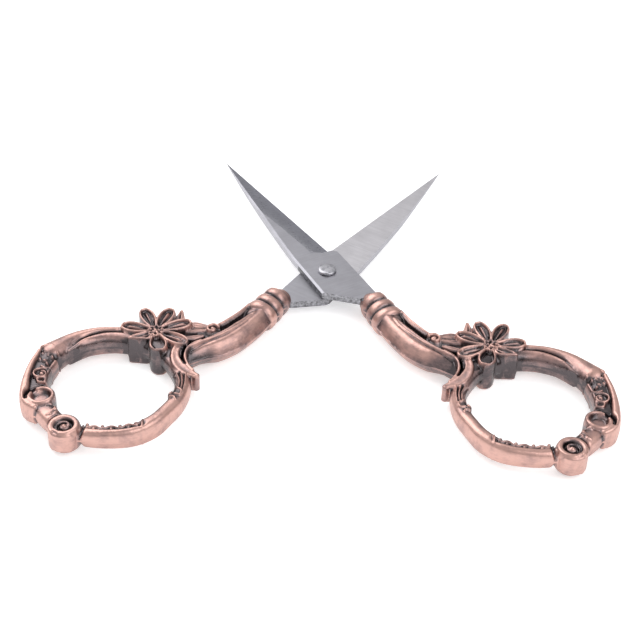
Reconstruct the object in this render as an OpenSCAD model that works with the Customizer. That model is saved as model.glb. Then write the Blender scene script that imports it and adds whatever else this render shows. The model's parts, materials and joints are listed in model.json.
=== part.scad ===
// Ornate embroidery scissors: two steel blades, two cast handles and a pivot rivet.
// Each half is drawn closed: pivot at the origin, tip along +Y, handle towards +X and -Y.
// The upper half then turns open about the pivot, and the lower half is the same half turned over.

/* [Blades] */
// Length from the pivot to the tip
blade_len = 48; // [40:1:56]
// Thickness of a blade
blade_t = 1.5; // [1.2:0.1:1.8]
// Thickness left along the cutting edge
edge_t = 0.2; // [0.1:0.05:0.4]
// Width of the bevel ground along the cutting edge
bevel_w = 4.0; // [3:0.25:5]
// Distance from the pivot's centre to the blade's back
heel_w = 4.4; // [4:0.1:5]
// Distance from the pivot to the step at the foot of the cutting edge
step_y = 5.9; // [5.5:0.1:7]

/* [Pivot] */
// Radius of the rivet's shank
rivet_r = 1.2; // [1:0.1:1.4]
// Radius of the rivet's heads
head_r = 1.9; // [1.7:0.05:2.1]
// Height of a rivet head above the blade
head_h = 0.65; // [0.5:0.05:0.8]
// Running clearance round the rivet and between the blades
pivot_gap = 0.04; // [0.02:0.01:0.06]
// Angle between the two halves as they lie
open_angle = 59.4; // [50:0.1:70]

/* [Handle] */
// Thickness of the handle over its flower and collar
handle_t = 6.2; // [5.8:0.1:6.6]
// Finger ring's centre line, half its width
ring_rx = 13.6; // [13.3:0.1:14]
// Finger ring's centre line, half its length
ring_ry = 13.2; // [12.8:0.1:13.5]
// How far the ring bulges away from the blades, on its inner side
ring_bulge = 1.2; // [0.8:0.1:1.4]
// Gap between each handle and the centre plane when closed
closed_gap = 0.35; // [0.3:0.05:0.5]
// Radius of the collar's bands
collar_r = 3.3; // [3.1:0.1:3.4]
// Number of bands on the collar
bands = 3; // [2:1:4]

/* [Hidden] */

mid_z = handle_t / 2;
half_open = open_angle / 2;
round_fn = 24;
bore_fn = 48;

// Blade: step and straight side of the ricasso, heel and tang
step_x = 4.3;
side_x = 5.3;
heel_y = -6.0;
tang_x = [1.5, 5.3];
tang_y = -17;
front_y = -10.9;

// Handle: collar, shank and ring
collar_x = 3.85;
collar_y = -11.5;
collar_len = 7.8;
// Half width and half height round the ring, by angle from +X
ring_w = [[0, 1.9], [50, 1.9], [110, 2.0], [180, 1.5], [225, 2.1], [270, 2.0], [330, 2.1], [360, 1.9]];
ring_h = [[0, 2.5], [100, 2.4], [150, 1.9], [225, 1.9], [270, 2.1], [330, 2.4], [360, 2.5]];
ring_x = closed_gap + lookup(180, ring_w) + ring_rx;
ring_y = -50.6;
ring_sides = 12;
ring_steps = 48;
shank_steps = 12;
shank_path = [[3.7, -11.5], [3.9, -24.5], [4.6, -33], [12.5, -38]];
// Half width and half height along the shank, from 0 at the collar to 1 at the ring
shank_w = [[0, 2.9], [0.25, 3.05], [0.5, 3.9], [0.75, 4.2], [1, 2.6]];
shank_h = [[0, 2.7], [0.5, 2.85], [1, 2.5]];
// Flower: centre, and each petal's direction, length and width
flower_c = [15.4, -35.7];
petals = [[123, 7.1, 2.8], [77, 7.3, 2.9], [34, 7.3, 2.8], [-19, 6.8, 3.0],
          [-72, 4.8, 3.6], [-133, 6.1, 3.4], [178, 7.1, 3.0]];
stamen_r = 1.9;

// Leaf that ends in a hook: points along it, radius at each, and its thickness
leaf_path = [[9.5, -35.8], [8.1, -39.1], [4.9, -41.0], [2.2, -40.9]];
leaf_r = [1.3, 1.3, 1.1, 0.8];
leaf_t = 4.0;
// Scrolls: a small one in the crook of the shank, a spiral and a pitted one on the ring
scroll_c = [7.5, -28.9];
scroll_r = 1.5;
spiral_c = [13.0, -65.0];
spiral_r = 3.0;
spiral_t = 4.4;
pit_c = [22.6, -61.8];
pit_r = 3.1;
pit_t = 5.2;

// The whole part rests with its box centred on the origin
front = spiral_c.x * sin(half_open) + spiral_c.y * cos(half_open) - spiral_r;
back = blade_len * cos(half_open);
pivot_y = -(front + back) / 2;

// A point on a cubic Bezier curve
function bezier(p, t) =
    pow(1 - t, 3) * p[0] + 3 * pow(1 - t, 2) * t * p[1]
    + 3 * (1 - t) * pow(t, 2) * p[2] + pow(t, 3) * p[3];

// A point on the finger ring's centre line, by angle from +X
function ring_at(a) = let (b = ring_bulge * pow(max(0, cos(a - 225)), 6))
    [ring_x + (ring_rx + b) * cos(a), ring_y + (ring_ry + b) * sin(a)];

// The unit vector to the right of the way from a to b
function side_of(a, b) = let (d = (b - a) / norm(b - a)) [d.y, -d.x];

// Tube of oval section, flat in plan, about the handle's middle plane
module tube(path, half_w, half_h, closed) {
    n = len(path);
    rim = [for (i = [0:n - 1])
        let (a = path[closed ? (i + n - 1) % n : max(i - 1, 0)],
             b = path[closed ? (i + 1) % n : min(i + 1, n - 1)],
             s = side_of(a, b))
        for (j = [0:ring_sides - 1])
            let (u = 360 * j / ring_sides, r = half_w[i] * cos(u))
            [path[i].x + s.x * r, path[i].y + s.y * r, mid_z + half_h[i] * sin(u)]];
    walls = [for (i = [0:n - (closed ? 1 : 2)]) for (j = [0:ring_sides - 1])
        let (k = (j + 1) % ring_sides, m = (i + 1) % n)
        [i * ring_sides + j, i * ring_sides + k, m * ring_sides + k, m * ring_sides + j]];
    first = [for (j = [ring_sides - 1:-1:0]) j];
    last = [for (j = [0:ring_sides - 1]) (n - 1) * ring_sides + j];
    polyhedron(rim, closed ? walls : concat(walls, [first, last]), convexity = 6);
}

// Upright post with bevelled ends, h tall, about the middle plane
module post(p, r, h) {
    bevel = 0.4;
    translate([p.x, p.y, mid_z]) rotate_extrude($fn = 20)
        polygon([[0, -h / 2], [r - bevel, -h / 2], [r, bevel - h / 2], [r, h / 2 - bevel],
                 [r - bevel, h / 2], [0, h / 2]]);
}

module petal(angle, length, width) {
    d = [cos(angle), sin(angle)];
    hull() {
        post(flower_c + d * (length - width / 2.6), width / 2.6, handle_t);
        post(flower_c + d * length * 0.5, width / 2, handle_t);
        post(flower_c + d * 0.5, 1.0, handle_t - 1);
    }
}

module flower() {
    for (p = petals) petal(p[0], p[1], p[2]);
    post(flower_c, stamen_r, handle_t - 0.2);
}

// Bands round the neck of the handle
module collar() {
    pitch = collar_len / bands;
    for (i = [0:bands - 1])
        translate([collar_x, collar_y - pitch * (i + 0.5), mid_z])
            rotate([90, 0, 0])
                scale([1, (handle_t / 2) / collar_r, 1])
                    rotate_extrude($fn = round_fn)
                        hull() {
                            translate([collar_r - pitch / 3, 0]) circle(r = pitch / 3, $fn = 12);
                            translate([0, -pitch / 2.2]) square([0.1, pitch / 1.1]);
                        }
}

// Shank from the collar to the ring
module shank() {
    ts = [for (i = [0:shank_steps]) i / shank_steps];
    tube([for (t = ts) bezier(shank_path, t)],
         [for (t = ts) lookup(t, shank_w)], [for (t = ts) lookup(t, shank_h)], false);
}

module finger_ring() {
    as = [for (i = [0:ring_steps - 1]) 360 * i / ring_steps];
    tube([for (a = as) ring_at(a)],
         [for (a = as) lookup(a, ring_w)], [for (a = as) lookup(a, ring_h)], true);
}

// Leaf that curls off the shank and ends in a hook over the ring
module hook_leaf() {
    for (i = [0:len(leaf_path) - 2])
        hull() {
            post(leaf_path[i], leaf_r[i], leaf_t);
            post(leaf_path[i + 1], leaf_r[i + 1], leaf_t);
        }
}

module scrolls() {
    post(scroll_c, scroll_r, handle_t - 0.4);
    post(spiral_c, spiral_r, spiral_t);
    post(pit_c, pit_r, pit_t);
}

// The slot that the blade's tang fills
module tang_slot() {
    translate([tang_x[0], tang_y, mid_z + pivot_gap / 2])
        cube([tang_x[1] - tang_x[0], front_y - tang_y + 1, blade_t]);
}

module handle() {
    color("rosybrown") difference() {
        union() {
            collar();
            shank();
            finger_ring();
            flower();
            hook_leaf();
            scrolls();
        }
        tang_slot();
    }
}

// Outline of the blade, seen from above
module blade_outline() {
    back_curve = [for (i = [0:8]) let (t = i / 8)
        pow(1 - t, 2) * [0, blade_len] + 2 * t * (1 - t) * [-heel_w * 0.73, blade_len * 0.56]
        + t * t * [-heel_w, 2.4]];
    polygon(concat(back_curve, [
        [-heel_w + 0.2, heel_y], [tang_x[0], front_y], [tang_x[0], tang_y], [tang_x[1], tang_y],
        [tang_x[1], front_y + 1], [side_x, front_y + 1.2], [side_x - 0.2, step_y - 0.6], [step_x, step_y]]));
}

// Everything above the sloping face ground along the cutting edge
module bevel_cut() {
    edge_angle = atan2(step_x, blade_len - step_y);
    slope = atan2(blade_t - edge_t, bevel_w);
    translate([0, blade_len, edge_t])
        rotate([0, 0, edge_angle])
            rotate([0, slope, 0])
                translate([-3 * bevel_w, -(blade_len - step_y) - 1, 0])
                    cube([6 * bevel_w, blade_len + 4, 4 * blade_t]);
}

module blade() {
    color("silver") translate([0, 0, mid_z + pivot_gap / 2]) difference() {
        linear_extrude(blade_t) blade_outline();
        intersection() {
            bevel_cut();
            translate([-20, step_y, 0]) cube([40, blade_len, 4 * blade_t]);
        }
        translate([0, 0, -1]) cylinder(r = rivet_r + pivot_gap, h = blade_t + 2, $fn = bore_fn);
    }
}

// The upper half as it lies, and the lower half, which is the same one turned over
module upper_half() {
    translate([0, pivot_y, 0]) rotate([0, 0, half_open]) children();
}

module lower_half() {
    translate([0, 0, mid_z]) rotate([0, 180, 0]) translate([0, 0, -mid_z]) upper_half() children();
}

module upper_blade() { upper_half() blade(); }
module lower_blade() { lower_half() blade(); }
module right_handle() { upper_half() handle(); }
module left_handle() { lower_half() handle(); }

// Shank and two low domed heads, turned in one piece
module pivot_rivet() {
    seat = pivot_gap / 2 + blade_t + pivot_gap;
    rim = 0.2;
    color("gainsboro") translate([0, pivot_y, mid_z]) rotate_extrude($fn = bore_fn)
        polygon([[0, -seat - head_h], [head_r - rim - 0.5, -seat - head_h + 0.06],
                 [head_r - rim, -seat - head_h + rim], [head_r, -seat - rim / 2], [head_r, -seat],
                 [rivet_r, -seat], [rivet_r, seat], [head_r, seat], [head_r, seat + rim / 2],
                 [head_r - rim, seat + head_h - rim], [head_r - rim - 0.5, seat + head_h - 0.06],
                 [0, seat + head_h]]);
}

upper_blade();
lower_blade();
right_handle();
left_handle();
pivot_rivet();
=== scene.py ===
import json
import math

import bmesh
import bpy
import numpy as np
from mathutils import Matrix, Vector


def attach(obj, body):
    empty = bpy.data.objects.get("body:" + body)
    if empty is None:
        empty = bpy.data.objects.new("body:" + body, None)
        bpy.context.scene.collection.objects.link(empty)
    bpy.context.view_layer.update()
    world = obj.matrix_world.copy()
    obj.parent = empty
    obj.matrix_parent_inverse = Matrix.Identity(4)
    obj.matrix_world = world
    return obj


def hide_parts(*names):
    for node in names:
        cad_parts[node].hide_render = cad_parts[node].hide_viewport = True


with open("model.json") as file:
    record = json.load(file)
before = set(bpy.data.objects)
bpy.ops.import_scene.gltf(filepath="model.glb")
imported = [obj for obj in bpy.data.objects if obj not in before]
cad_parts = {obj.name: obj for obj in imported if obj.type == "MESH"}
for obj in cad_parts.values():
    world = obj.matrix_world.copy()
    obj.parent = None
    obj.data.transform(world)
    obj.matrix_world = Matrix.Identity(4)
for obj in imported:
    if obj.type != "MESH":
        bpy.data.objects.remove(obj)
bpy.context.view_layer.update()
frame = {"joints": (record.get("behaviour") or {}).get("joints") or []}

MM = 0.001
# Where the halves turn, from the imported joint, and how far each stands open at rest
PIVOT = next(j for j in frame["joints"] if j["name"] == "pivot")["pos_m"]
PIVOT_Y, MID_Z = PIVOT[1] / MM, PIVOT[2] / MM
HALF_OPEN = math.radians(29.7)


def to_metres(points, turned=False):
    """Closed-half millimetres, heights from the middle plane, to the open scissors in metres.

    turned gives the other half, which is the same one turned over about the long axis."""
    p = np.array(points, float)
    c, s = math.cos(HALF_OPEN), math.sin(HALF_OPEN)
    x, y, z = p[:, 0] * c - p[:, 1] * s, p[:, 0] * s + p[:, 1] * c + PIVOT_Y, p[:, 2]
    if turned:
        x, z = -x, -z
    return np.column_stack([x, y, z + MID_Z]) * MM


def make_piece(name, points, faces, turned=False, **attributes):
    """Mesh object from closed-half points, with one float attribute per extra array."""
    mesh = bpy.data.meshes.new(name)
    mesh.from_pydata(to_metres(points, turned).tolist(), [], faces)
    for key, values in attributes.items():
        layer = mesh.attributes.new(key, "FLOAT", "POINT")
        layer.data.foreach_set("value", np.asarray(values, np.float32))
    obj = bpy.data.objects.new(name, mesh)
    bpy.context.scene.collection.objects.link(obj)
    return obj


def clean(obj, sharp_deg, merge=1e-7):
    """Join doubled points, turn all faces outward, and crease edges sharper than an angle."""
    bm = bmesh.new()
    bm.from_mesh(obj.data)
    bmesh.ops.remove_doubles(bm, verts=bm.verts, dist=merge)
    bmesh.ops.recalc_face_normals(bm, faces=bm.faces)
    bm.to_mesh(obj.data)
    bm.free()
    obj.data.shade_smooth()
    obj.data.set_sharp_from_angle(angle=math.radians(sharp_deg))
    return obj


# ---------------------------------------------------------------- handle, in millimetres
# Plan of the upper half closed: pivot at the origin, tip along +Y, handle towards +X and -Y.
# Heights are half thicknesses, counted from the middle plane; the underside mirrors the top.
CELL = 0.125        # grid spacing
SEAM = 0.22         # least half thickness, along the parting line
TOP = 3.1           # greatest half thickness
DRAFT = 9.0         # how steeply a part falls away outside its outline
MIDDLE_GAP = 0.05   # each half stays this far from the centre plane when closed
OUTSIDE = -9.0      # height and depth of a point that no part has reached
CHUNK = 20000       # points compared with a path at a time, to save memory
# Finger ring, from its far side round past the flower: centre line, half width, half height
RING = [(28.2, -51.0, 1.95, 2.1), (27.4, -46.4, 2.1, 2.3), (25.1, -42.3, 2.1, 2.3), (21.3, -39.1, 2.1, 2.3),
        (16.0, -37.6, 2.0, 2.2), (10.6, -38.4, 1.9, 2.0), (6.4, -40.7, 1.7, 1.9), (3.4, -43.8, 1.5, 1.9),
        (1.85, -47.6, 1.45, 2.0), (1.5, -51.4, 1.4, 2.1), (1.65, -55.0, 1.45, 2.2), (3.2, -58.6, 1.45, 2.1),
        (6.3, -61.4, 1.4, 2.0), (9.8, -63.2, 1.5, 1.9), (13.8, -64.0, 1.8, 1.9), (18.4, -62.9, 1.9, 1.9),
        (22.4, -60.6, 2.1, 1.7), (25.4, -57.8, 2.1, 1.5), (27.4, -54.6, 2.0, 1.6)]
RING_MIDDLE = (14.6, -50.4)
FLOWER = (15.4, -35.7)


def curve(points, step=0.2):
    """Smooth path through given points, with a point about every step millimetres."""
    p = np.array(points, float)
    p = np.vstack([2 * p[0] - p[1], p, 2 * p[-1] - p[-2]])
    out = []
    for a, b, c, d in zip(p[:-3], p[1:-2], p[2:-1], p[3:]):
        n = max(2, int(np.linalg.norm(c - b) / step))
        t = (np.arange(n) / n)[:, None]
        out.append(0.5 * (2 * b + (c - a) * t + (2 * a - 5 * b + 4 * c - d) * t ** 2
                          + (3 * b - a - 3 * c + d) * t ** 3))
    return np.vstack(out + [p[-2:-1]])


def arc(centre, radius, start, end, end_radius=None, step=0.15):
    """Arc or spiral about a centre, in degrees."""
    r1 = radius if end_radius is None else end_radius
    n = max(8, int(abs(math.radians(end - start)) * max(radius, r1) / step))
    t = np.linspace(0, 1, n)
    a = np.radians(start + (end - start) * t)
    r = radius + (r1 - radius) * t
    return np.column_stack([centre[0] + r * np.cos(a), centre[1] + r * np.sin(a)])


def loop(points, step=0.2):
    """Closed smooth path through rows of values, the first two of them x and y."""
    p = np.array(points, float)
    out = []
    for i in range(len(p)):
        a, b, c, d = (p[(i + k) % len(p)] for k in (-1, 0, 1, 2))
        n = max(2, int(np.hypot(*(c - b)[:2]) / step))
        t = (np.arange(n) / n)[:, None]
        out.append(0.5 * (2 * b + (c - a) * t + (2 * a - 5 * b + 4 * c - d) * t ** 2
                          + (3 * b - a - 3 * c + d) * t ** 3))
    return np.vstack(out)


def mix(t, stops):
    """Value at t from (t, value) stops."""
    s = np.array(stops, float)
    return np.interp(t, s[:, 0], s[:, 1])


def ease(t):
    """Smooth step from 0 to 1."""
    t = np.clip(t, 0, 1)
    return t * t * (3 - 2 * t)


def heading(degrees):
    """Unit vector at an angle from +X."""
    a = math.radians(degrees)
    return np.array([math.cos(a), math.sin(a)])


def rounded(inside, rim):
    """How far a flat top drops near its outline, where its rim is rounded over."""
    return rim * 0.6 * np.clip(1 - inside / rim, 0, 1) ** 2


class Relief:
    """Half thickness h and distance inside the outline d, at a set of points."""

    def __init__(self, x, y):
        self.x, self.y = x, y
        self.h = np.full(len(x), OUTSIDE)
        self.d = np.full(len(x), OUTSIDE)

    def near(self, lo, hi, reach):
        """Indices of the points in a box widened by reach."""
        return np.nonzero((self.x > lo[0] - reach) & (self.x < hi[0] + reach)
                          & (self.y > lo[1] - reach) & (self.y < hi[1] + reach))[0]

    def track(self, path, reach, closed=False):
        """Points near a path: their index, share of the way along, signed offset, distance past an end."""
        n = len(path)
        ends = np.vstack([path, path[:1]]) if closed else path
        tangent = np.gradient(path, axis=0) if not closed else np.roll(path, -1, 0) - np.roll(path, 1, 0)
        tangent /= np.linalg.norm(tangent, axis=1)[:, None]
        step = np.linalg.norm(np.diff(ends, axis=0), axis=1).mean()
        at = self.near(path.min(0), path.max(0), reach)
        t, off, past = (np.zeros(len(at)) for _ in range(3))
        for i in range(0, len(at), CHUNK):
            k = at[i:i + CHUNK]
            j = ((self.x[k, None] - path[:, 0]) ** 2 + (self.y[k, None] - path[:, 1]) ** 2).argmin(1)
            dx, dy = self.x[k] - path[j, 0], self.y[k] - path[j, 1]
            forward = (dx * tangent[j, 0] + dy * tangent[j, 1]) / step
            s = j + forward
            s = s % n if closed else np.clip(s, 0, n - 1)
            j0 = np.floor(s).astype(int) % n
            j1 = (j0 + 1) % n if closed else np.minimum(j0 + 1, n - 1)
            part = (s - np.floor(s))[:, None]
            tan = tangent[j0] * (1 - part) + tangent[j1] * part
            foot = path[j0] * (1 - part) + path[j1] * part
            dx, dy = self.x[k] - foot[:, 0], self.y[k] - foot[:, 1]
            off[i:i + CHUNK] = dx * tan[:, 1] - dy * tan[:, 0]
            t[i:i + CHUNK] = s / (n - 1)
            if not closed:
                beyond = np.where(j == n - 1, np.maximum(0, forward), 0)
                past[i:i + CHUNK] = step * np.where(j == 0, np.maximum(0, -forward), beyond)
        keep = off ** 2 + past ** 2 < reach ** 2
        return at[keep], t[keep], off[keep], past[keep]

    def raise_to(self, at, height, inside, outline=True):
        """Raise points to a height, and widen the casting's outline to take them in if asked."""
        side = height - DRAFT * np.maximum(0, -inside)
        self.h[at] = np.maximum(self.h[at], side)
        if outline:
            self.d[at] = np.maximum(self.d[at], inside)

    def tube(self, path, width, height, closed=False, base=0.0, outline=True, square=2.0, lean=0.0,
             lens=False):
        """Rounded bar along a path; width and height are stops along it.

        square above 2 gives steeper sides, lens a sharper edge, and lean moves the crest to the right."""
        widest = max(w for _, w in width)
        at, t, off, past = self.track(path, widest + 0.5, closed)
        w = mix(t, width)
        s = off - lean * w
        s = np.hypot(s / (w * np.where(s > 0, 1 - lean, 1 + lean)), past / w)
        top = mix(t, height)
        rise = (1 - np.minimum(1, s) ** square) ** (1 if lens else 1 / square)
        self.raise_to(at, base + (top - base) * rise, w - np.hypot(off, past), outline)

    def slab(self, path, width, height, rim=0.3, dish=0.0, outline=True):
        """Flat-topped bar with rounded rims, hollowed by dish along its middle."""
        widest = max(w for _, w in width)
        at, t, off, past = self.track(path, widest + 0.5)
        w = mix(t, width)
        inside = w - np.hypot(off, past)
        top = mix(t, height) - rounded(inside, rim) - dish * ease((inside - rim) / (0.6 * w))
        self.raise_to(at, top, inside, outline)

    def groove(self, path, width, depth):
        """Rounded groove cut along a path."""
        widest = max(w for _, w in width)
        at, t, off, past = self.track(path, widest * 2.5)
        w = mix(t, width)
        cut = mix(t, depth) * np.exp(-(off ** 2 + past ** 2) / w ** 2)
        self.h[at] -= cut

    def disc(self, centre, radius, height, rim=0.25, outline=True):
        """Flat round post with a rounded rim."""
        c = np.array(centre)
        at = self.near(c - radius, c + radius, 0.5)
        inside = radius - np.hypot(self.x[at] - c[0], self.y[at] - c[1])
        self.raise_to(at, height - rounded(inside, rim), inside, outline)

    def ball(self, centre, radius, height, outline=False):
        """Round bead whose top is at height."""
        c = np.array(centre)
        at = self.near(c - radius, c + radius, 0.1)
        r = np.hypot(self.x[at] - c[0], self.y[at] - c[1])
        top = height - radius + np.sqrt(np.maximum(0, radius ** 2 - r ** 2))
        keep = r < radius
        self.raise_to(at[keep], top[keep], (radius - r)[keep], outline)

    def hollow(self, centre, radius, floor, wall=0.25):
        """Sink a round flat-floored hollow down to floor."""
        c = np.array(centre)
        at = self.near(c - radius, c + radius, 0.3)
        r = np.hypot(self.x[at] - c[0], self.y[at] - c[1])
        share = ease((radius - r) / wall)
        self.h[at] = self.h[at] * (1 - share) + np.minimum(self.h[at], floor) * share


COLLAR_X = 3.85     # middle of the collar's bands
BAND_HALF = 1.27    # half the width of one band


def collar(f):
    """Three rounded bands wound round the neck over a thinner core."""
    f.tube(curve([(3.7, -11.9), (3.75, -15), (3.75, -19.4)]), [(0, 2.4), (1, 2.8)], [(0, 2.1), (1, 2.3)])
    for y, wide, tilt in ((-12.95, 2.8, 0.02), (-15.45, 3.1, 0.07), (-18.0, 3.25, 0.0)):
        at = f.near((0, y), (7.6, y), 2.4)
        across = (f.x[at] - COLLAR_X) / wide
        along = (f.y[at] - y - 0.25 * across ** 2 - tilt * across * wide) / BAND_HALF
        rise = (1 - np.clip(np.abs(along) ** 2.6, 0, 1)) ** (1 / 2.2)
        w_here = wide * (0.82 + 0.18 * rise)
        top = (1.95 + 1.15 * rise) * np.sqrt(np.maximum(0, 1 - np.abs(across * wide / w_here) ** 2.2))
        inside = np.minimum(w_here - np.abs(across) * wide, (1 - np.abs(along)) * BAND_HALF)
        keep = inside > -0.3
        f.raise_to(at[keep], top[keep], inside[keep])
        # a fine line runs aslant along each band's upper side
        line = np.exp(-((along - 0.55 + 0.3 * across) / 0.1) ** 2) * 0.3 * (np.abs(across) < 0.95)
        f.h[at] -= line


def shank(f):
    """Curved neck from the collar to the ring, with a rimmed channel along its inner side."""
    body = curve([(3.7, -18.6), (3.65, -22.5), (4.15, -27.0), (5.1, -30.4), (6.7, -33.4), (7.8, -36.4)])
    f.tube(body, [(0, 2.9), (0.3, 3.1), (0.5, 3.25), (0.7, 2.95), (0.85, 2.3), (1, 1.8)],
           [(0, 2.55), (0.4, 2.6), (0.7, 2.5), (0.85, 2.1), (1, 1.5)], square=1.9, lean=0.3, lens=True)
    # inner side: a sunk channel, then a broad raised rim that ends in a small scroll
    bed = curve([(5.4, -18.6), (5.8, -22.5), (6.6, -26.4), (8.2, -30.2)])
    f.slab(bed, [(0, 1.1), (1, 1.4)], [(0, 1.7), (1, 1.6)], rim=0.2)
    f.groove(curve([(4.95, -18.4), (5.1, -21.5), (5.65, -25.0), (6.4, -28.2), (7.6, -30.8)]),
             [(0, 0.5), (0.5, 0.6), (1, 0.65)], [(0, 0.7), (0.6, 1.0), (1, 1.0)])
    rim = curve([(6.2, -18.4), (6.25, -21.5), (6.75, -24.8), (7.3, -27.2)])
    f.tube(rim, [(0, 0.62), (0.5, 0.7), (1, 0.6)], [(0, 2.2), (1, 2.35)], base=0.4, square=2.4)
    rim_line = curve([(6.05, -19.4), (6.1, -22.0), (6.6, -25.2), (7.0, -26.8)])
    f.groove(rim_line, [(0, 0.12), (1, 0.12)], [(0, 0.35), (1, 0.45)])
    f.disc((7.55, -28.6), 1.55, 1.7)
    f.tube(arc((7.55, -28.7), 1.25, 120, -215, 0.45), [(0, 0.48), (1, 0.34)], [(0, 2.6), (1, 2.35)], base=1.2)
    f.ball((7.5, -28.7), 0.42, 2.5)
    # crest with two engraved lines
    crest = curve([(3.6, -20.5), (3.7, -24.0), (4.3, -27.4), (5.4, -30.6), (6.8, -33.3), (7.6, -35.4)])
    f.tube(crest, [(0, 1.2), (0.3, 1.7), (0.7, 1.0), (1, 0.5)], [(0, 2.6), (0.4, 2.9), (1, 2.85)],
           base=1.5, outline=False, lens=True)
    for shift, start in ((-0.42, 0.16), (0.2, 0.06)):
        line = crest[int(len(crest) * start):int(len(crest) * 0.93)] + np.array([0.95, 0.35]) * shift
        f.groove(line, [(0, 0.1), (0.3, 0.15), (1, 0.15)], [(0, 0.15), (0.3, 0.45), (0.9, 0.5), (1, 0.1)])


def leaves(f):
    """Leaf blades between the scroll and the flower, and one behind the flower."""
    for pts, w, h in (([(8.6, -29.6), (10.6, -31.2), (12.6, -32.6)], 0.8, 2.2),
                      ([(8.9, -28.4), (10.8, -29.5), (13.0, -31.0)], 0.75, 2.0),
                      ([(9.4, -27.9), (11.5, -28.6), (13.4, -30.2)], 0.6, 1.75),
                      ([(8.0, -31.2), (9.4, -32.8), (10.8, -34.2)], 0.8, 2.1)):
        p = curve(pts)
        f.tube(p, [(0, w * 0.5), (0.4, w), (1, w * 0.8)], [(0, h), (1, h)], base=1.2)
        f.groove(p, [(0, 0.1), (1, 0.12)], [(0, 0.3), (1, 0.3)])
    f.slab(curve([(8.2, -29.5), (11.0, -31.4), (14.0, -33.5)]), [(0, 1.5), (1, 2.2)], [(0, 1.2), (1, 1.4)])
    tip = curve([(14.2, -30.0), (15.2, -28.4), (15.9, -27.0)])
    f.tube(tip, [(0, 1.2), (0.6, 0.9), (1, 0.45)], [(0, 1.9), (1, 1.9)], base=1.0)
    f.groove(tip, [(0, 0.15), (1, 0.12)], [(0, 0.5), (1, 0.5)])


def hook_leaf(f):
    """Two nested crescents that curl off the shank, the outer one ending in a hook."""
    inner = curve([(6.9, -33.2), (7.7, -35.0), (7.6, -37.0), (6.6, -38.7), (5.0, -39.8), (3.7, -40.2)])
    f.tube(inner, [(0, 0.5), (0.5, 0.5), (1, 0.35)], [(0, 2.85), (0.5, 2.6), (1, 2.0)], base=0.8, square=2.4)
    outer = curve([(9.7, -34.6), (9.5, -36.8), (8.5, -38.8), (6.8, -40.3), (4.8, -41.1), (2.5, -41.0)])
    f.slab(outer, [(0, 0.7), (0.3, 1.0), (0.6, 1.2), (0.85, 1.0), (1, 0.65)],
           [(0, 2.6), (0.5, 2.35), (0.8, 2.0), (1, 1.75)], rim=0.35, dish=0.08)
    between = curve([(8.5, -34.2), (8.5, -36.6), (7.5, -38.5), (5.9, -39.7)])
    f.groove(between, [(0, 0.22), (0.5, 0.36), (1, 0.2)], [(0, 0.8), (0.5, 1.2), (1, 0.8)])
    sliver = curve([(8.75, -35.4), (8.6, -36.9), (7.9, -38.2)])
    f.tube(sliver, [(0, 0.12), (0.5, 0.2), (1, 0.1)], [(0, 2.2), (0.5, 2.25), (1, 2.0)],
           base=1.2, outline=False)


def finger_ring(f):
    """The ring's plain round bar, all the way round."""
    path = loop(RING)
    share = np.arange(len(path)) / (len(path) - 1)
    width, height = (list(zip(share, path[:, k])) for k in (2, 3))
    f.tube(path[:, :2], width, height, closed=True, square=2.6)


def trumpet(f):
    """Outer tube from the flower that widens to a lip, and the ridge along its inner side."""
    horn = curve([(21.6, -38.0), (25.0, -40.8), (27.4, -44.6), (28.5, -49.6)])
    f.tube(horn, [(0, 0.8), (0.35, 1.3), (0.7, 1.75), (1, 2.5)], [(0, 2.35), (0.5, 2.55), (1, 2.85)],
           base=0.2, square=2.2)
    seam = curve([(20.2, -38.4), (23.6, -40.6), (25.6, -43.8), (26.0, -46.6)])
    f.groove(seam, [(0, 0.2), (0.6, 0.34), (1, 0.2)], [(0, 0.6), (0.6, 1.1), (1, 0.4)])
    f.tube(curve([(20.0, -38.8), (23.3, -41.0), (25.2, -44.2), (26.0, -48.0)]), [(0, 0.45), (1, 0.6)],
           [(0, 2.2), (0.7, 2.2), (1, 1.7)], base=0.8, outline=False, square=2.2)
    lip = curve([(26.6, -50.3), (27.3, -49.8), (28.5, -49.5), (29.7, -49.9), (30.3, -50.6)])
    f.tube(lip, [(0, 0.35), (0.5, 0.45), (1, 0.35)], [(0, 2.3), (0.5, 2.95), (1, 2.5)], base=0.8)


def channel(f):
    """Outer band round a sunk channel that holds the curls; its end hugs the pitted scroll."""
    bed = curve([(28.4, -51.6), (27.0, -55.6), (25.0, -58.8), (22.6, -61.2)])
    f.slab(bed, [(0, 2.0), (0.5, 1.9), (1, 1.7)], [(0, 1.0), (1, 1.0)], rim=0.2)
    band = curve([(29.8, -51.6), (28.6, -55.2), (26.8, -58.7), (24.7, -61.6), (22.6, -63.2), (20.9, -63.5)])
    f.tube(band, [(0, 0.55), (0.3, 0.7), (0.65, 0.95), (0.85, 1.2), (1, 0.9)],
           [(0, 2.6), (0.5, 2.5), (0.85, 2.4), (1, 2.1)], square=3.2)
    inner_rim = curve([(26.0, -51.8), (25.1, -54.8), (23.6, -57.6)])
    f.tube(inner_rim, [(0, 0.5), (1, 0.55)], [(0, 1.8), (1, 1.9)], base=0.4)


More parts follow.
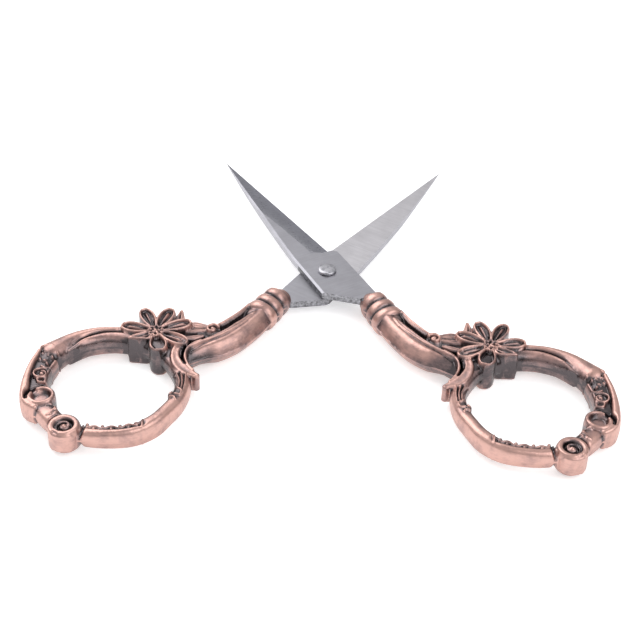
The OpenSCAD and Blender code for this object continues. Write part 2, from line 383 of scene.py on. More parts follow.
def curls(f):
    """Leaf tips under the trumpet's lip, then an open scroll and its tendrils down the channel."""
    for x, y, a, size in ((27.0, -51.5, 250, 0.8), (28.0, -51.4, 262, 0.9), (29.0, -51.7, 275, 0.8),
                          (27.4, -53.0, 300, 0.7), (28.4, -53.2, 245, 0.7), (26.6, -53.4, 220, 0.6)):
        d = heading(a) * size
        p = np.array([x, y])
        f.tube(curve([p - d * 0.5, p + 0.15 * d[::-1], p + d * 0.7], 0.1), [(0, 0.26), (0.6, 0.42), (1, 0.2)],
               [(0, 2.15), (0.6, 2.35), (1, 2.0)], base=0.9, outline=False)
    c = (25.6, -56.2)
    f.tube(arc(c, 1.35, 95, -150, 1.2), [(0, 0.22), (0.5, 0.36), (1, 0.34)],
           [(0, 2.1), (0.5, 2.4), (1, 2.3)], base=0.9, outline=False)
    f.tube(arc(c, 1.2, 210, 60, 0.5), [(0, 0.34), (1, 0.26)], [(0, 2.3), (1, 2.2)], base=0.9, outline=False)
    f.ball((25.3, -56.3), 0.45, 2.35)
    for tendril in ([(25.2, -57.7), (24.4, -58.2), (23.4, -57.6)],
                    [(26.9, -54.6), (26.0, -54.6), (25.2, -54.0)]):
        f.tube(curve(tendril, 0.1), [(0, 0.3), (1, 0.24)], [(0, 2.2), (1, 2.1)], base=0.9, outline=False)


def pit(f):
    """Round hollow with a broad rim, tucked inside the end of the outer band."""
    c = (21.5, -60.9)
    f.disc(c, 2.5, 1.6, rim=0.3)
    f.tube(arc(c, 2.05, 30, 345), [(0, 0.35), (0.5, 0.58), (1, 0.45)], [(0, 2.2), (0.5, 2.5), (1, 2.3)],
           base=1.0, square=2.6)
    f.hollow(c, 1.6, 1.2, wall=0.35)
    f.groove(arc(c, 2.75, -50, 40), [(0, 0.25), (0.5, 0.4), (1, 0.25)], [(0, 0.9), (0.5, 1.3), (1, 0.8)])


def fringe(f):
    """Small leaf relief between the pitted scroll and the spiral."""
    f.slab(curve([(15.8, -63.7), (18.6, -62.8)]), [(0, 1.35), (1, 1.4)], [(0, 1.5), (1, 1.5)], rim=0.4)
    for x, y, a, bend in ((16.3, -62.8, 60, 0.3), (17.6, -62.2, 80, -0.3), (18.9, -62.0, 110, 0.3),
                          (17.3, -63.6, -70, 0.25)):
        d = heading(a)
        p = np.array([x, y])
        side = bend * np.array([d[1], -d[0]])
        f.tube(curve([p - 0.5 * d, p + side, p + 0.5 * d]), [(0, 0.3), (0.5, 0.45), (1, 0.3)],
               [(0, 2.0), (0.5, 2.15), (1, 2.0)], base=1.3, outline=False)


def spiral(f):
    """Scroll that winds in from the ring's outer side round a dark well."""
    c = (13.1, -64.8)
    f.disc(c, 2.85, 2.0, rim=0.45)
    f.tube(arc(c, 2.35, -70, 250, 2.05), [(0, 0.5), (0.3, 0.6), (1, 0.5)], [(0, 2.3), (1, 2.35)],
           base=1.6, square=3.0, outline=False)
    f.tube(arc(c, 2.05, 250, 500, 0.9), [(0, 0.5), (1, 0.32)], [(0, 2.35), (1, 2.2)], base=1.4, outline=False)
    f.groove(arc(c, 1.6, -70, 250, 1.15), [(0, 0.16), (0.5, 0.24), (1, 0.2)],
             [(0, 0.5), (0.5, 0.8), (1, 0.7)])
    f.groove(arc(c, 1.15, 250, 430, 0.6), [(0, 0.2), (1, 0.2)], [(0, 0.7), (1, 0.9)])
    f.ball((12.95, -64.9), 0.45, 2.3)
    for side, depth in (([(10.1, -65.7), (9.9, -64.2), (10.4, -62.6)], 0.9),
                        ([(16.0, -66.2), (16.2, -64.9), (15.8, -63.4)], 0.8)):
        f.groove(curve(side), [(0, 0.4), (1, 0.25)], [(0, depth), (1, 0.5)])


def lace(f):
    """Relief on the ring's near side: a beaded wavy stem in a hollow, a clasp, and three strands."""
    bed = curve([(2.5, -57.0), (5.2, -59.7), (8.6, -61.7), (11.0, -62.5)])
    f.groove(bed, [(0, 0.55), (1, 0.6)], [(0, 0.75), (1, 0.7)])
    lip = curve([(1.7, -57.9), (2.2, -57.1), (2.8, -56.2)])
    f.tube(lip, [(0, 0.2), (0.5, 0.34), (1, 0.3)], [(0, 2.0), (0.5, 2.4), (1, 2.2)], base=1.2, outline=False)
    stem = curve([(2.8, -57.0), (5.2, -59.7), (8.5, -61.9), (10.6, -62.6)])
    n, beads = len(stem), 7
    wave = 0.28 * np.sin(np.linspace(0, beads * math.pi, n))
    run = np.gradient(stem, axis=0)
    across = np.column_stack([run[:, 1], -run[:, 0]]) / np.linalg.norm(run, axis=1)[:, None]
    wavy = stem + across * wave[:, None]
    f.tube(wavy, [(0, 0.22), (1, 0.26)], [(0, 2.05), (1, 1.85)], base=1.1, outline=False)
    for k in range(beads):
        i = int(n * (k + 0.5) / beads)
        f.ball(stem[i] - across[i] * 0.3 * (-1) ** k, 0.36, 1.9)
    clasp = (([(2.9, -46.0), (1.8, -46.3), (1.5, -47.3), (2.3, -47.7)], 0.32),
             ([(1.4, -48.7), (2.0, -48.4), (2.6, -48.8)], 0.3), ([(2.9, -47.6), (3.0, -48.4)], 0.26))
    for pts, w in clasp:
        f.tube(curve(pts, 0.1), [(0, w), (0.5, w * 1.2), (1, w * 0.8)], [(0, 2.35), (1, 2.4)],
               base=1.3, outline=False)
    for shift in (-0.75, 0.0, 0.75):
        p = curve([(4.9 + shift, -42.3 - shift * 0.6), (3.3 + shift * 0.9, -44.1),
                   (2.2 + shift * 0.7, -46.0)])
        f.tube(p, [(0, 0.26), (0.6, 0.3), (1, 0.18)], [(0, 2.2), (1, 2.2)], base=0.9, outline=False)
        f.groove(p + np.array([0.37, 0.1]), [(0, 0.14), (1, 0.12)], [(0, 0.6), (1, 0.3)])


def corner(a, b, radius=0.7):
    """Distance inside both of two edges, with their corner rounded off."""
    both = (a < radius) & (b < radius)
    return np.where(both, radius - np.hypot(radius - a, radius - b), np.minimum(a, b))


PETAL_FROM, PETAL_TOP = 0.9, 3.08   # where a petal starts from the flower's middle, and its rim's height


def petal(f, angle, length, width, front=None, floor=2.1):
    """Cupped petal: raised rim, sunk floor and veins.

    front is an angle and a distance, where the petal's end is cut off square facing that way."""
    fx, fy = heading(angle)
    cx, cy = FLOWER
    start = PETAL_FROM
    at = f.near((cx - length, cy - length), (cx + length, cy + length), 0.6)
    dx, dy = f.x[at] - cx, f.y[at] - cy
    u, v = dx * fx + dy * fy, dx * fy - dy * fx
    share = np.clip((u - start) / (length - start), 0, 1)
    peak = 0.6 if front is None else 0.75
    grow = 0.38 + 0.62 * np.sin(np.clip(share / peak, 0, 1) * math.pi / 2)
    taper = 1 - np.clip((share - peak) / (1 - peak), 0, 1) ** 2.1
    half = width / 2 * grow * (np.sqrt(np.maximum(0, taper)) if front is None else 1)
    inside = np.minimum(half - np.abs(v), np.minimum(length - u, u - start + 0.5))
    if front is not None:
        bx, by = heading(front[0])
        inside = corner(inside, front[1] - dx * bx - dy * by)
    keep = inside > -0.35
    at, u, v, share, inside, half = at[keep], u[keep], v[keep], share[keep], inside[keep], half[keep]
    rim = ease((0.7 - inside) / 0.32) * ease((u - start) / 0.8 + 0.3)
    cup = floor + 0.25 * share - 0.25 * ease((0.45 - share) / 0.4)
    vein = 0.7 * np.exp(-(v / 0.22) ** 2) * ease((0.92 - share) / 0.25)
    lines = 0.4 * np.exp(-((np.abs(v) - 0.46 * half) / 0.14) ** 2) * ease((0.8 - share) / 0.25)
    out = np.clip(1 - inside / 0.3, 0, 1)
    top = cup + (vein + lines) * (1 - rim) + (PETAL_TOP - cup) * rim - 0.28 * out ** 2
    f.raise_to(at, top, inside)


def flower(f):
    """Seven petals round a cluster of curls and beads."""
    for angle, length, width in ((123, 7.1, 3.1), (77, 7.3, 3.1), (34, 7.3, 3.0), (-19, 6.8, 3.1),
                                 (178, 7.1, 3.1)):
        petal(f, angle, length, width)
    petal(f, -74, 6.4, 3.5, front=(-117, 3.0), floor=2.3)
    petal(f, -133, 6.1, 3.4, floor=1.2)
    f.hollow(FLOWER, 1.8, 2.2, wall=0.5)
    for a in range(12, 360, 45):
        curl = arc(np.array(FLOWER) + 1.2 * heading(a), 0.36, a - 140, a + 120)
        f.tube(curl, [(0, 0.24), (1, 0.2)], [(0, 3.0), (1, 3.1)], base=1.9, outline=False)
    for a in range(30, 360, 90):
        f.ball(np.array(FLOWER) + 0.5 * heading(a), 0.32, 3.0)
    f.ball(FLOWER, 0.3, 3.1)


PARTS = (finger_ring, lace, trumpet, channel, pit, curls, fringe, spiral, shank, leaves, hook_leaf, flower,
         collar)


def handle_field(x, y):
    """Half thickness of the whole casting, and distance inside its outline."""
    f = Relief(x, y)
    for part in PARTS:
        part(f)
    f.h = np.clip(f.h, SEAM, TOP)
    # both halves stay on their own side of the middle when the scissors close
    f.d = np.minimum(f.d, f.x - MIDDLE_GAP)
    rounding = (1 - (1 - np.clip((f.x - MIDDLE_GAP) / 1.3, 0, 1)) ** 2.4) ** (1 / 2.4)
    f.h = np.minimum(f.h, SEAM + 3.0 * rounding)
    return f.h, f.d


# ---------------------------------------------------------------- handle mesh
GRID_X, GRID_Y = (-1.0, 33.0), (-69.5, -9.8)   # the area that the grid covers
FAR = 9.0                                      # stands for no crossing nearby
WALL_LEVELS = (0.9, 0.35, -0.35, -0.9)         # rows of the side walls, as shares of the height


def handle_grid():
    """Grid over the handle, its points near the outline moved onto it.

    Gives points, heights, which points are inside, which are on the outline, and the distance inside."""
    gx, gy = np.meshgrid(np.arange(*GRID_X, CELL), np.arange(*GRID_Y, CELL))
    h, d = (field.reshape(gx.shape) for field in handle_field(gx.ravel(), gy.ravel()))
    px, py, on = snap_to_outline(gx, gy, d)
    h[on], _ = handle_field(px[on], py[on])
    return px, py, h, (d > 0) | on, on, d


def snap_to_outline(gx, gy, d):
    """Move each grid point that is nearest a crossing of d = 0 onto that crossing."""
    px, py = gx.copy(), gy.copy()
    best = np.full(d.shape, FAR)
    rows, cols = d.shape
    for dr, dc in ((0, 1), (1, 0), (1, 1), (1, -1)):
        c0, c1 = max(0, -dc), cols - max(0, dc)
        a = (slice(0, rows - dr), slice(c0, c1))
        b = (slice(dr, rows), slice(c0 + dc, c1 + dc))
        cross = (d[a] > 0) != (d[b] > 0)
        t = np.where(cross, d[a] / np.where(cross, d[a] - d[b], 1), FAR)
        for at, near, frac in ((a, t <= 0.5, t), (b, (t > 0.5) & (t <= 1), 1 - t)):
            ok = cross & near & (frac < best[at])
            x = gx[a] + (gx[b] - gx[a]) * t
            y = gy[a] + (gy[b] - gy[a]) * t
            px[at] = np.where(ok, x, px[at])
            py[at] = np.where(ok, y, py[at])
            best[at] = np.where(ok, frac, best[at])
    return px, py, best < FAR


def blur(values, weight, sigma):
    """Gaussian blur in cells that takes no account of points outside the handle."""
    r = int(3 * sigma)
    k = np.exp(-0.5 * (np.arange(-r, r + 1) / sigma) ** 2)
    out = []
    for field in (values * weight, weight.astype(float)):
        for axis in (0, 1):
            pad = [(r, r) if i == axis else (0, 0) for i in (0, 1)]
            p = np.pad(field, pad)
            n = field.shape[axis]
            field = sum(k[i] * (p[i:i + n] if axis == 0 else p[:, i:i + n]) for i in range(2 * r + 1))
        out.append(field)
    return out[0] / np.maximum(out[1], 1e-9)


CROTCH = (5.6, -36.4)   # the dark corner between shank and hook leaf


def wear_map(px, py, h, inside, d):
    """How much of the dark patina is rubbed off, 0 to 1: most on high spots and on the ring's outside.

    Also gives how far the nearest wall faces away from the ring's middle, and nearness to the flower."""
    fine, broad = (curvature(blur(h, inside, s / CELL)) for s in (0.2, 0.5))
    dy, dx = np.gradient(blur(np.where(inside, d, 0), inside, 0.6 / CELL), CELL)
    cx, cy = px - RING_MIDDLE[0], py - RING_MIDDLE[1]
    facing = -(dx * cx + dy * cy) / (np.hypot(cx, cy) + 1e-6) / np.maximum(np.hypot(dx, dy), 0.3)
    edge = np.exp(-np.maximum(d, 0) / 0.9)
    petals = np.exp(-(np.hypot(px - FLOWER[0], py - FLOWER[1]) / 8.0) ** 6)
    crotch = np.exp(-((px - CROTCH[0]) ** 2 + (py - CROTCH[1]) ** 2) / 2.6 ** 2)
    depth = np.clip((closing(h, inside) - h) / 0.7, 0, 1)
    wear = 0.63 + 0.22 * np.tanh(fine * 0.5) + 0.16 * np.tanh(broad * 0.8) - 0.6 * depth
    wear += 0.26 * facing * edge - 0.35 * crotch
    return np.clip(wear, 0, 1), np.clip(facing, -1, 1), petals


def curvature(h):
    """Twice the mean curvature of a height field, positive on ridges, per millimetre."""
    gy, gx = np.gradient(h, CELL)
    n = np.sqrt(1 + gx ** 2 + gy ** 2)
    return -(np.gradient(gx / n, CELL, axis=1) + np.gradient(gy / n, CELL, axis=0))


def closing(h, inside):
    """Height field with its narrow valleys filled, to tell recesses from open surfaces."""
    filled = np.where(inside, h, 0)
    for pick in (np.maximum, np.minimum):
        for _ in range(int(0.9 / CELL)):
            for axis in (0, 1):
                filled = pick(filled, pick(np.roll(filled, 1, axis), np.roll(filled, -1, axis)))
    return filled


def grid_faces(inside, on):
    """Quads inside the outline and the triangles along it, as numbers of grid points."""
    ids = np.arange(inside.size).reshape(inside.shape)
    quad, solid = (np.stack([grid[:-1, :-1], grid[:-1, 1:], grid[1:, 1:], grid[1:, :-1]], -1)
                   for grid in (ids, inside))
    count = solid.sum(-1)
    tris = quad[count == 3][solid[count == 3]].reshape(-1, 3)
    # a face whose points all lie on the outline has no width
    return quad[count == 4], tris[~on.ravel()[tris].all(1)]


def handle_mesh():
    """Points, wear and faces of one whole handle: relief on top, its mirror below, walls between."""
    px, py, h, inside, on, d = handle_grid()
    wear, facing, petals = wear_map(px, py, h, inside, d)
    quads, tris = grid_faces(inside, on)
    used = np.unique(np.concatenate([quads.ravel(), tris.ravel()]))
    index = np.full(h.size, -1)
    index[used] = np.arange(len(used))
    quads, tris = index[quads], index[tris]
    x, y, z, w, side, near = (grid.ravel()[used] for grid in (px, py, h, wear, facing, petals))
    edges = rim_edges(quads, tris)
    n, rim = len(used), np.unique(edges)
    slot = np.full(n, -1)
    slot[rim] = np.arange(len(rim))
    walls = [np.column_stack([x[rim], y[rim], z[rim] * level]) for level in WALL_LEVELS]
    wall_wear = np.clip(0.5 + 0.36 * side[rim] - 0.3 * near[rim] * (side[rim] > -0.2), 0.15, 1)
    points = [np.column_stack([x, y, z]), np.column_stack([x, y, -z])] + walls
    wears = [w, w] + [wall_wear] * len(walls)
    faces = quads.tolist() + tris.tolist() + (quads[:, ::-1] + n).tolist() + (tris[:, ::-1] + n).tolist()
    rows = [slot + 2 * n + i * len(rim) for i in range(len(walls))]
    rings = [np.arange(n)] + rows + [np.arange(n) + n]
    s, t = edges[:, 0], edges[:, 1]
    for upper, lower in zip(rings[:-1], rings[1:]):
        faces += np.column_stack([upper[t], upper[s], lower[s], lower[t]]).tolist()
    return np.vstack(points), np.concatenate(wears), faces


def rim_edges(quads, tris):
    """Edges that only one face uses, in that face's direction."""
    pairs = np.vstack([face[:, [i, (i + 1) % face.shape[1]]] for face in (quads, tris)
                       for i in range(face.shape[1])])
    big = pairs.max() + 1
    key = pairs.min(1) * big + pairs.max(1)
    _, first, counts = np.unique(key, return_index=True, return_counts=True)
    return pairs[first[counts == 1]]


# ---------------------------------------------------------------- blade mesh
# Heights from the middle plane; the blade's inner face lies just above it.
BLADE = dict(length=48.0, low=0.02, thick=1.5, edge=0.22, foot=5.9)
SPINE = ((0.0, 48.0), (-3.2, 26.9), (-4.4, 2.4))
GRIND_Y = 7.0                       # the bevel starts here at its ridge
RIDGE_END, FULL_SPAN = 26.4, 4.85   # past this the bevel takes the whole width
CHAMFER, CHAMFER_DROP = 0.42, 0.3   # width and depth of the chamfer along the back
SHOULDER, HOLLOW = 0.9, 0.14        # length of the bevel's run-out, depth of its hollow
FADE = 12                           # chamfer and hollow fade out over this length before the tip
GROUND_FROM = 3.2                   # the inner face is ground from here up
OUTER, BEVEL, INNER, SIDES, SHADED_BACK = range(5)   # material slots; the back wall's slot takes a darker copy of the sides' steel as painted shade


def spine_x(y):
    """The blade's back: a shallow curve above the pivot, nearly straight below it."""
    t = np.linspace(0, 1, 200)
    a, b, c = np.array(SPINE)
    p = np.outer((1 - t) ** 2, a) + np.outer(2 * t * (1 - t), b) + np.outer(t ** 2, c)
    above = np.interp(y, p[::-1, 1], p[::-1, 0])
    end_x, end_y = SPINE[2]
    return np.where(y > end_y, above, end_x + (end_y - y) * 0.026)


def edge_x(y):
    """The straight cutting edge."""
    return 4.3 * (BLADE["length"] - y) / (BLADE["length"] - BLADE["foot"])


def ridge_x(y):
    """Where the flat face meets the bevel."""
    return np.interp(y, [6.0, GRIND_Y, 10.0, 18.0, RIDGE_END], [0.1, 0.0, -0.3, -1.3, -2.62])


def bevel_start(y):
    """The ridge, or the chamfer's inner side where that lies further in; the chamfer narrows to the tip."""
    return np.maximum(ridge_x(y), spine_x(y) + CHAMFER * np.minimum(1, (BLADE["length"] - y) / FADE))


def blade_height(x, y, start_y):
    """Top of the blade: flat, then hollow ground down to the cutting edge past the run-out."""
    edge, back, t, left = edge_x(y), spine_x(y), BLADE["thick"], BLADE["length"] - y
    span = edge - np.where(y > RIDGE_END, edge - FULL_SPAN, ridge_x(y))
    v = np.clip((edge - x) / span, 0, 1)
    ground = BLADE["edge"] + (t - BLADE["edge"]) * v - HOLLOW * 4 * v * (1 - v) * np.clip(left / FADE, 0, 1)
    z = t + (ground - t) * ease((y - start_y) / SHOULDER)
    at_back = np.abs(x - back) < 1e-9
    return np.where(at_back, np.maximum(z - CHAMFER_DROP * np.clip(left / 20, 0.1, 1), 0.12), z)


def ground_rows(flat, bevel):
    """Rows from the run-out to the tip: the back, the flat face, then the bevel down to the edge."""
    run_u = np.linspace(0, 1, bevel)
    run_y = GRIND_Y - 1.1 * ease(run_u * 1.8)
    starts = np.concatenate([np.full(flat + 1, GRIND_Y), run_y[1:]])
    reach = BLADE["length"] - GRIND_Y
    rows = []
    for off in np.concatenate([np.linspace(0, SHOULDER, 9), [1.4, 2.2, 3.2], np.linspace(5, 19.4, 10),
                               np.linspace(21, 40.7, 16), [40.85]]):
        s = off / reach
        y_flat = GRIND_Y + reach * s
        back, ridge = spine_x(y_flat), bevel_start(y_flat)
        inner = np.minimum(back + CHAMFER, ridge)
        y_bevel = run_y + (BLADE["length"] - run_y) * s
        start = bevel_start(y_bevel)
        x_bevel = start + (edge_x(y_bevel) - start) * run_u
        xs = np.concatenate([[back], np.linspace(inner, ridge, flat), x_bevel[1:]])
        ys = np.concatenate([np.full(flat + 1, y_flat), y_bevel[1:]])
        rows.append(np.column_stack([xs, ys, blade_height(xs, ys, starts)]))
    return rows


def ricasso_rows(top, flat):
    """Flat rows from the heel up to the first ground row, with the outline's step on the edge side."""
    k = np.arange(len(top))
    corners = [0, 1, flat + 3, len(top) - 1]
    foot = np.column_stack([np.interp(k, corners, [-4.3, -3.9, 1.5, 5.2]),
                            np.interp(k, corners, [-6.0, -6.35, -11.1, -11.1])])
    # the edge side's outline: share of the way to the foot, x, y
    side = np.array([(0, 4.3, 5.9), (0.03, 4.7, 5.45), (0.07, 5.05, 5.2), (0.12, 5.1, 4.2), (1, 5.2, -11.1)])
    reach = (k / (len(top) - 1)) ** 3
    rows = []
    for r in (1, 0.97, 0.9, 0.75, 0.6, 0.45, 0.3, 0.2, 0.12, 0.07, 0.03):
        xy = top[:, :2] + (foot - top[:, :2]) * r
        want = np.array([np.interp(r, side[:, 0], side[:, 1]), np.interp(r, side[:, 0], side[:, 2])])
        xy = xy + (want - xy[-1]) * reach[:, None]
        xy[1] = xy[0] + (CHAMFER, -CHAMFER * 0.8 * (r > 0.99))
        z = np.full(len(xy), BLADE["thick"])
        z[0] -= CHAMFER_DROP
        rows.append(np.column_stack([xy, z]))
    return rows


def blade_faces(grid, heel_rows, flat):
    """Faces and material slots of a closed blade: the rows above, the same rows flat below, and rims."""
    rows, cols = grid.shape[:2]
    n, y = rows * cols, grid[:, :, 1].ravel()
    ids = np.arange(n).reshape(rows, cols)
    faces, kinds = [], []
    for i in range(rows - 1):
        for j in range(cols - 1):
            a, b, c, d = ids[i, j], ids[i, j + 1], ids[i + 1, j + 1], ids[i + 1, j]
            faces += [(a, b, c, d), (a + n, d + n, c + n, b + n)]
            kinds += [BEVEL if i >= heel_rows and j >= flat else OUTER,
                      INNER if y[a] > GROUND_FROM else OUTER]
    # the back wall below the ground face takes the slot darkened as painted shade
    for rim, kind in ((ids[:, 0], SHADED_BACK), (ids[:, -1], SIDES), (ids[0], SIDES), (ids[-1], SIDES)):
        for a, b in zip(rim[:-1], rim[1:]):
            faces.append((a, b, b + n, a + n))
            kinds.append(OUTER if y[a] > GROUND_FROM else kind)
    return faces, kinds


def blade_piece(name, turned, mats):
    """One ground blade with its tang, and materials in the order of the slots."""
    flat, bevel = 5, 11
    ground = ground_rows(flat, bevel)
    ricasso = ricasso_rows(ground[0], flat)
    grid = np.array(ricasso + ground)
    faces, kinds = blade_faces(grid, len(ricasso), flat)
    top = grid.reshape(-1, 3)
    tang_plan = ((1.7, -10.0), (1.7, -16.8), (5.0, -16.8), (5.0, -10.0))
    tang = [(x, y, z) for z in (0.1, 1.4) for x, y in tang_plan]
    pts = np.vstack([top, top * (1, 1, 0), tang])
    pts[:, 2] += BLADE["low"]
    for f in ((0, 1, 2, 3), (4, 7, 6, 5), (0, 4, 5, 1), (1, 5, 6, 2), (2, 6, 7, 3), (3, 7, 4, 0)):
        faces.append(tuple(2 * len(top) + i for i in f))
        kinds.append(SIDES)
    obj = make_piece(name, pts, [tuple(int(i) for i in f) for f in faces], turned)
    for mat in mats:
        obj.data.materials.append(mat)
    obj.data.polygons.foreach_set("material_index", kinds)
    clean(obj, 7)
    edges = obj.modifiers.new("edges", "BEVEL")
    edges.width, edges.segments = 0.06 * MM, 2
    edges.limit_method, edges.angle_limit = "ANGLE", math.radians(50)
    return obj


# ---------------------------------------------------------------- rivet
def rivet_piece(name, mat):
    """Turned rivet: shank and two low domed heads, from half of its profile as radius and height."""
    half = [(0.0, 2.2), (0.8, 2.195), (1.3, 2.18), (1.55, 2.15), (1.72, 2.08), (1.81, 1.97), (1.85, 1.85),
            (1.85, 1.66), (1.82, 1.59), (1.76, 1.56), (1.2, 1.56)]
    profile = half + [(r, -z) for r, z in reversed(half)]
    seg = 64
    pts, faces = [], []
    for r, z in profile:
        for k in range(seg):
            a = 2 * math.pi * k / seg
            pts.append((r * math.cos(a), r * math.sin(a), z))
    for i in range(len(profile) - 1):
        for k in range(seg):
            m = (k + 1) % seg
            faces.append((i * seg + k, i * seg + m, (i + 1) * seg + m, (i + 1) * seg + k))
    obj = make_piece(name, pts, faces)
    obj.data.materials.append(mat)
    return clean(obj, 40)


# ---------------------------------------------------------------- materials
class Nodes:
    """Small helper to wire a material's nodes."""

    def __init__(self, name):
        self.mat = bpy.data.materials.new(name)
        self.mat.use_nodes = True
        self.tree = self.mat.node_tree
        self.shader = self.tree.nodes["Principled BSDF"]
        self.place = self.add("ShaderNodeTexCoord").outputs["Object"]

    def add(self, kind, inputs=None, **settings):
        node = self.tree.nodes.new(kind)
        for k, v in settings.items():
            setattr(node, k, v)
        for k, v in (inputs or {}).items():
            if isinstance(v, bpy.types.NodeSocket):
                self.tree.links.new(v, node.inputs[k])
            else:
                node.inputs[k].default_value = v
        return node

    def link(self, out, socket):
        self.tree.links.new(out, self.shader.inputs[socket])

    def fix(self, socket, value):
        self.shader.inputs[socket].default_value = value

    def noise(self, scale, detail=3, rough=0.5, stretch=None, turn=0.0):
        """Noise with features of about 1/scale millimetres, stretched along turned axes if asked."""
        at = self.place
        if stretch:
            turned = self.add("ShaderNodeMapping", {"Vector": at, "Rotation": (0, 0, turn)})
            at = self.add("ShaderNodeMapping", {"Vector": turned.outputs[0], "Scale": stretch}).outputs[0]
        return self.add("ShaderNodeTexNoise", {"Vector": at, "Scale": scale / MM, "Detail": detail,
                                               "Roughness": rough}).outputs["Fac"]

    def math(self, op, a, b=0.0, clamp=False):
        return self.add("ShaderNodeMath", {0: a, 1: b}, operation=op, use_clamp=clamp).outputs[0]

    def spread(self, fac, low, high, to_low=0.0, to_high=1.0):
        return self.add("ShaderNodeMapRange", {"Value": fac, "From Min": low, "From Max": high,
                                               "To Min": to_low, "To Max": to_high}).outputs[0]

    def ramp(self, fac, stops):
        node = self.add("ShaderNodeValToRGB", {"Fac": fac})
        elements = node.color_ramp.elements
        while len(elements) < len(stops):
            elements.new(0.5)
        for e, (pos, colour) in zip(elements, stops):
            e.position, e.color = pos, (*colour, 1)
        return node.outputs["Color"]

    def bump(self, height, distance, strength=1.0):
        node = self.add("ShaderNodeBump", {"Height": height, "Distance": distance * MM, "Strength": strength})
        self.link(node.outputs["Normal"], "Normal")


# Copper from untouched patina to rubbed bare
DARK, BROWN, ROSE, COPPER = (0.10, 0.086, 0.09), (0.235, 0.172, 0.17), (0.41, 0.26, 0.238), (0.60, 0.37, 0.32)


def antique_copper(name):
    """Copper plate, rubbed pink on the high spots, with dark gunmetal patina left in the recesses."""
    n = Nodes(name)
    wear = n.add("ShaderNodeAttribute", attribute_name="wear").outputs["Fac"]
    cloud = n.spread(n.noise(0.35, 4, 0.6), 0.3, 0.7, -0.24, 0.2)
    streak = n.spread(n.noise(0.9, 3, 0.6, stretch=(1.0, 1.0, 4.0)), 0.3, 0.7, -0.07, 0.07)
    rubbed = n.math("ADD", wear, n.math("ADD", cloud, streak), clamp=True)
    n.link(n.ramp(rubbed, [(0.12, DARK), (0.38, BROWN), (0.62, ROSE), (0.86, COPPER)]), "Base Color")
    n.fix("Metallic", 1.0)
    satin = n.spread(n.noise(2.2, 4, 0.6), 0.3, 0.7, -0.05, 0.05)
    n.link(n.math("ADD", n.spread(rubbed, 0.1, 0.7, 0.24, 0.38), satin), "Roughness")
    cast = n.math("ADD", n.noise(1.1, 3, 0.55), n.math("MULTIPLY", n.noise(5.0, 2, 0.5), 0.18))
    n.bump(cast, 0.12, 0.5)
    return n.mat


def ground_steel(name, colour, rough, turn, lines, depth):
    """Steel with grinding lines across the blade; turn lines the grain up with the blade at rest."""
    n = Nodes(name)
    grain = n.noise(lines, 4, 0.6, stretch=(0.05, 1.0, 1.0), turn=turn)
    cloud = n.noise(0.25, 3, 0.55)
    tone = n.math("ADD", n.spread(grain, 0.3, 0.7, -0.05, 0.05), n.spread(cloud, 0.3, 0.7, -0.045, 0.045))
    dark = tuple(c * 0.82 for c in colour)
    light = tuple(min(1, c * 1.14) for c in colour)
    n.link(n.ramp(n.math("ADD", tone, 0.5), [(0.38, dark), (0.62, light)]), "Base Color")
    n.fix("Metallic", 1.0)
    n.link(n.spread(grain, 0.3, 0.7, rough - 0.05, rough + 0.06), "Roughness")
    n.bump(grain, depth, 0.6)
    return n.mat


def blanked_steel(name, shade=1.0):
    """The blade's punched sides: darker, mottled and rough; shade below 1 darkens them further as painted
    shade, for a side turned away from the light.
    """
    n = Nodes(name)
    spots = n.noise(2.0, 5, 0.65)
    tones = ((0.34, 0.10), (0.5, 0.23), (0.66, 0.36))
    n.link(n.ramp(spots, [(at, (v * shade, v * shade, v * shade * 1.07)) for at, v in tones]), "Base Color")
    n.fix("Metallic", 1.0)
    n.link(n.spread(spots, 0.3, 0.7, 0.45, 0.3), "Roughness")
    n.bump(spots, 0.06, 0.6)
    return n.mat


def turned_steel(name):
    """The rivet's smooth, slightly dented metal."""
    n = Nodes(name)
    dents = n.noise(0.9, 3, 0.5)
    n.link(n.ramp(dents, [(0.3, (0.36, 0.36, 0.39)), (0.7, (0.50, 0.49, 0.52))]), "Base Color")
    n.fix("Metallic", 1.0)
    n.link(n.spread(dents, 0.3, 0.7, 0.22, 0.34), "Roughness")
    n.bump(dents, 0.06, 0.5)
    return n.mat


# ---------------------------------------------------------------- studio
LENS, SENSOR = 78.75, 36.0
CAMERA_AT, CAMERA_TURN = (0.00263, -0.2222, 0.16556), (52.73, -1.54, 2.10)   # metres, degrees
ORIGIN = (0, 0, 0)
WORLD_STRENGTH, WORLD_LEAN = 0.95, -0.18
WORLD_TONES = ((0.0, 0.40), (0.3, 0.55), (0.6, 0.86), (0.85, 0.7), (1.0, 0.45))   # from below to the zenith
FLOOR_SIZE, FLOOR_Z = 6.0, -0.00005


def camera():
    """The photograph's viewing angle."""
    data = bpy.data.cameras.new("camera")
    data.lens, data.sensor_width = LENS, SENSOR
    data.clip_start = 0.01
    obj = bpy.data.objects.new("camera", data)
    obj.location = CAMERA_AT
    obj.rotation_euler = [math.radians(a) for a in CAMERA_TURN]
    bpy.context.scene.collection.objects.link(obj)
    bpy.context.scene.camera = obj


def softbox(name, at, aim, size, watts):
    """Rectangular area light at a place, pointed at another."""
    data = bpy.data.lights.new(name, "AREA")
    data.shape, data.size, data.size_y, data.energy = "RECTANGLE", size[0], size[1], watts
    obj = bpy.data.objects.new(name, data)
    obj.location = at
    obj.rotation_euler = Vector(np.array(aim) - np.array(at)).to_track_quat("-Z", "Y").to_euler()
    bpy.context.scene.collection.objects.link(obj)


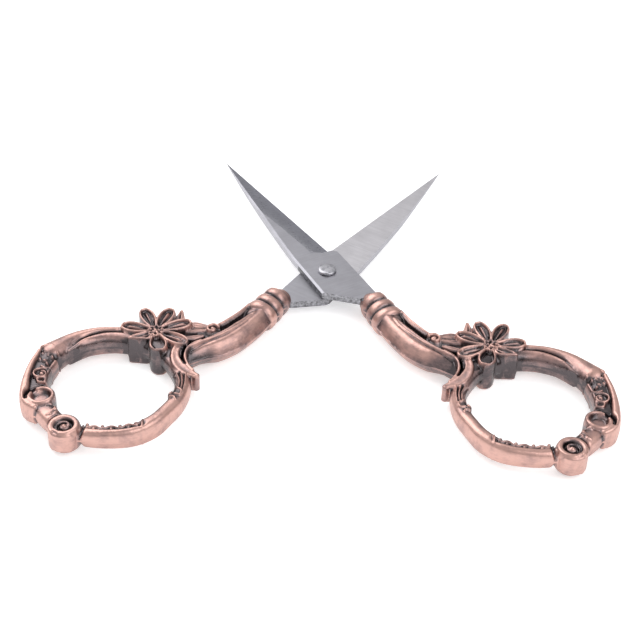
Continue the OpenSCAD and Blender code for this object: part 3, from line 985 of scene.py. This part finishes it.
def world_light():
    """Pale surroundings, darker towards the floor and the zenith and leaning to one side."""
    world = bpy.data.worlds.new("studio")
    bpy.context.scene.world = world
    world.use_nodes = True
    nodes, link = world.node_tree.nodes, world.node_tree.links.new
    back = nodes["Background"]
    place = nodes.new("ShaderNodeTexCoord")
    split = nodes.new("ShaderNodeSeparateXYZ")
    ramp = nodes.new("ShaderNodeValToRGB")
    lean = nodes.new("ShaderNodeMath")
    lean.operation, lean.inputs[1].default_value = "MULTIPLY_ADD", WORLD_LEAN
    link(place.outputs["Generated"], split.inputs[0])
    link(split.outputs["X"], lean.inputs[0])
    link(split.outputs["Z"], lean.inputs[2])
    link(lean.outputs[0], ramp.inputs["Fac"])
    link(ramp.outputs["Color"], back.inputs["Color"])
    while len(ramp.color_ramp.elements) < len(WORLD_TONES):
        ramp.color_ramp.elements.new(0.5)
    for e, (pos, v) in zip(ramp.color_ramp.elements, WORLD_TONES):
        e.position, e.color = pos, (v, v, v * 1.01, 1)
    back.inputs["Strength"].default_value = WORLD_STRENGTH


def floor_plane():
    """Plain pale floor just under the scissors."""
    bm = bmesh.new()
    bmesh.ops.create_grid(bm, x_segments=1, y_segments=1, size=FLOOR_SIZE)
    mesh = bpy.data.meshes.new("floor")
    bm.to_mesh(mesh)
    bm.free()
    floor = bpy.data.objects.new("floor", mesh)
    floor.location = (0, 0, FLOOR_Z)
    bpy.context.scene.collection.objects.link(floor)
    n = Nodes("floor_white")
    n.link(n.ramp(n.noise(0.01, 2), [(0.3, (0.90, 0.90, 0.90)), (0.7, (0.91, 0.91, 0.91))]), "Base Color")
    n.fix("Roughness", 0.9)
    n.fix("Specular IOR Level", 0.1)
    n.fix("Emission Color", (1, 1, 1, 1))
    n.fix("Emission Strength", 0.45)
    mesh.materials.append(n.mat)


def studio():
    world_light()
    floor_plane()
    softbox("key", (-0.45, 0.4, 0.75), ORIGIN, (1.0, 0.8), 5.5)
    softbox("fill", (0.6, -0.4, 0.65), ORIGIN, (1.0, 0.8), 4.0)
    bpy.context.scene.view_settings.view_transform = "Standard"


# ---------------------------------------------------------------- build
def build():
    """Both handles, both blades and the rivet, each on its body in place of its CAD node."""
    copper = antique_copper("antique_copper_cast")
    points, wear, faces = handle_mesh()
    for name, node, body, turned in (("right_handle_cast", "right_handle", "right_half", False),
                                     ("left_handle_cast", "left_handle", "left_half", True)):
        obj = make_piece(name, points, faces, turned, wear=wear)
        obj.data.materials.append(copper)
        clean(obj, 180)
        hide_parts(node)
        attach(obj, body)
    for name, node, body, turned in (("upper_blade_ground", "upper_blade", "right_half", False),
                                     ("lower_blade_ground", "lower_blade", "left_half", True)):
        grain = HALF_OPEN if turned else -HALF_OPEN
        # the back wall's steel is the sides' steel darkened to 0.45, painted shade on the side turned from
        # the light
        mats = [ground_steel(name + "_outer", (0.37, 0.365, 0.395), 0.34, grain, 3.0, 0.01),
                ground_steel(name + "_bevel", (0.32, 0.32, 0.365), 0.30, grain, 4.0, 0.008),
                ground_steel(name + "_inner", (0.58, 0.565, 0.59), 0.36, grain, 2.2, 0.03),
                blanked_steel(name + "_sides"), blanked_steel(name + "_back_painted_shade", 0.45)]
        obj = blade_piece(name, turned, mats)
        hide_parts(node)
        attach(obj, body)
    rivet = rivet_piece("rivet_turned", turned_steel("rivet_turned_steel"))
    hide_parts("pivot_rivet")
    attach(rivet, "left_half")


camera()
studio()
build()
